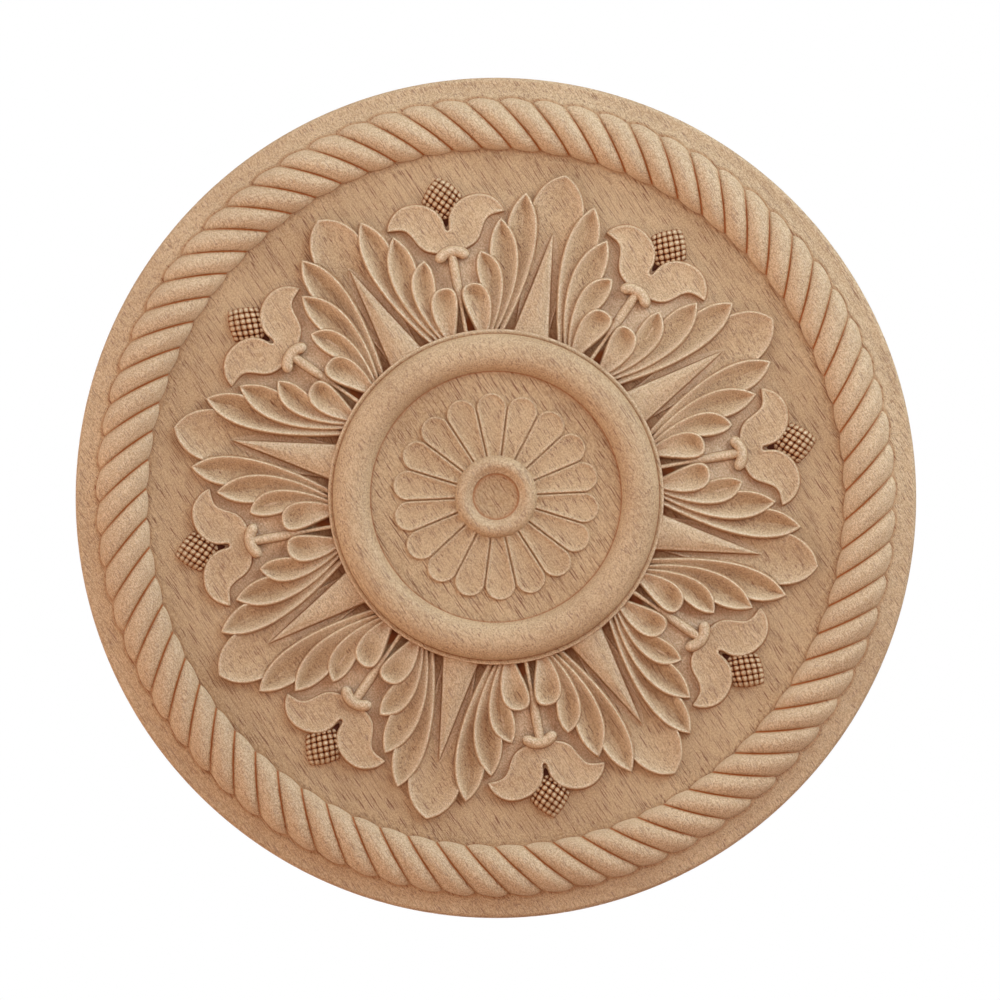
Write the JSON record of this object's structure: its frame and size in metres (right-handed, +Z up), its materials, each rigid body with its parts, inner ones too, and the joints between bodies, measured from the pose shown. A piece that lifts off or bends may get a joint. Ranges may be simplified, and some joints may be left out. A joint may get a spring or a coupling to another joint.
{
  "type": "carved wooden rosette applique",
  "caption": "Round plaque of bare pale hardwood carved in relief with a rope border, a wreath of leaves and bell flowers, a ring moulding and a petalled rosette; its flat back is glued on.",
  "frame": {"origin": "centre of the flat back, on the surface that it is fixed to", "axes": "+Z up and +X to the right as seen from the front; the carved front faces -Y and the flat back faces +Y"},
  "size_m": [0.3, 0.02, 0.2999],
  "materials": {
    "bare_wood": "finely sanded, unfinished"
  },
  "bodies": {
    "root": {"carved_rosette": "bare_wood"}
  },
  "joints": []
}
